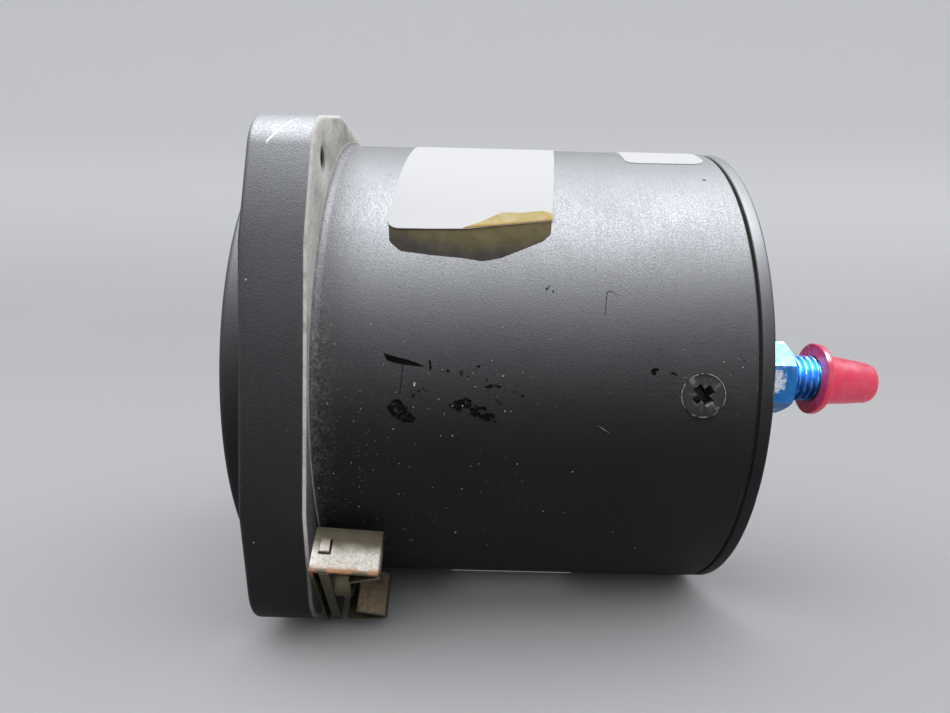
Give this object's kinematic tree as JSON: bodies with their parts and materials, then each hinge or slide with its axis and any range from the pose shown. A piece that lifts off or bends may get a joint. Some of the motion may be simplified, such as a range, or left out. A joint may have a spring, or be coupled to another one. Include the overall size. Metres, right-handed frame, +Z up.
{
  "type": "manifold pressure gauge",
  "caption": "Round aircraft manifold pressure gauge with a square flange, rear cover, offset flare fitting with a push-on cap, and an aneroid movement.",
  "frame": {"origin": "centre of the four panel-screw holes, in the flange's front face", "axes": "+Y along the instrument's axis to the rear cover, +Z up as the dial is read, +X to the right for someone who reads the dial"},
  "size_m": [0.0826, 0.1055, 0.0826],
  "materials": {
    "black_enamel": "satin",
    "window_glass": "polished",
    "black_rubber": "matte",
    "black_steel": "satin",
    "dial_black": "matte",
    "pointer_white": "matte",
    "brass_parts": "satin",
    "bush_bronze": "satin",
    "spring_bronze": "polished",
    "capsule_bronze": "satin",
    "plain_steel": "satin",
    "brown_fibre": "matte",
    "blue_anodised": "satin",
    "red_plastic": "gloss",
    "tarnished_bronze": "satin"
  },
  "bodies": {
    "case": {"case_body": "black_enamel", "cover_glass": "window_glass", "glass_gasket": "black_rubber", "retaining_ring": "black_steel", "dial_plate": "dial_black", "dial_posts": "brass_parts", "dial_screws": "black_steel", "front_plate": "brass_parts", "middle_plate": "brass_parts", "rear_plate": "brass_parts", "short_pillars": "brass_parts", "long_pillars": "brass_parts", "front_frame_screws": "plain_steel", "rear_frame_screws": "plain_steel", "mechanism_screws": "plain_steel", "staff_bearings": "bush_bronze", "sector_bearings": "bush_bronze", "rocker_brackets": "brass_parts", "bracket_screws": "plain_steel", "pivot_screws": "plain_steel", "hairspring": "spring_bronze", "hairspring_stud": "plain_steel", "aneroid_capsules": "capsule_bronze", "capsule_hubs": "brass_parts", "capsule_base_stud": "brass_parts", "capsule_nut": "brass_parts", "rear_cover": "black_enamel", "cover_gasket": "brown_fibre", "cover_screws": "black_steel", "pressure_fitting": "blue_anodised", "inlet_restrictor": "brass_parts", "clip_nut_cage": "tarnished_bronze", "clip_nut_plate": "tarnished_bronze"},
    "hand": {"pinion_staff": "plain_steel", "hairspring_collet": "brass_parts", "pointer_hub": "brass_parts", "pointer": "pointer_white"},
    "sector": {"sector_shaft": "plain_steel", "sector_gear": "brass_parts", "sector_hub": "brass_parts", "follower_arm": "brass_parts"},
    "rocker": {"rocking_shaft": "plain_steel", "drive_arm": "plain_steel", "lift_arm": "brass_parts", "lift_arm_pin": "plain_steel", "balance_arm": "brass_parts", "balance_weight": "brass_parts"},
    "capsule_head": {"centre_post": "brass_parts", "lift_link": "plain_steel", "link_pin": "plain_steel"},
    "cap": {"fitting_cap": "red_plastic"}
  },
  "joints": [
    {"name": "sector_turn", "type": "hinge", "parent": "case", "child": "sector", "pos_m": [-0.01729, 0.0215, -0.005], "axis": [0, 1, 0], "range_deg": [-17.2, 17.2], "stiffness_Nm_per_rad": 0.05},
    {"name": "hand_turn", "type": "hinge", "parent": "case", "child": "hand", "pos_m": [0, 0.0215, 0], "axis": [0, 1, 0], "range_deg": [-155, 155], "deforming": ["hairspring"]},
    {"name": "rocker_turn", "type": "hinge", "parent": "case", "child": "rocker", "pos_m": [0, 0.034, -0.005], "axis": [1, 0, 0], "range_deg": [-12.3, 12.3]},
    {"name": "post_slide", "type": "slide", "parent": "case", "child": "capsule_head", "axis": [0, 1, 0], "range_m": [-0.00107, 0.00107], "deforming": ["aneroid_capsules", "capsule_hubs"]},
    {"name": "cap_slide", "type": "slide", "parent": "case", "child": "cap", "axis": [0, 1, 0], "range_m": [0, 0.016]}
  ],
  "couplings": [
    {"joint": "hand_turn", "follows": "sector_turn", "ratio": -9},
    {"joint": "rocker_turn", "follows": "sector_turn", "ratio": 0.71111},
    {"joint": "post_slide", "follows": "sector_turn", "m_per_rad": -0.0035556}
  ]
}
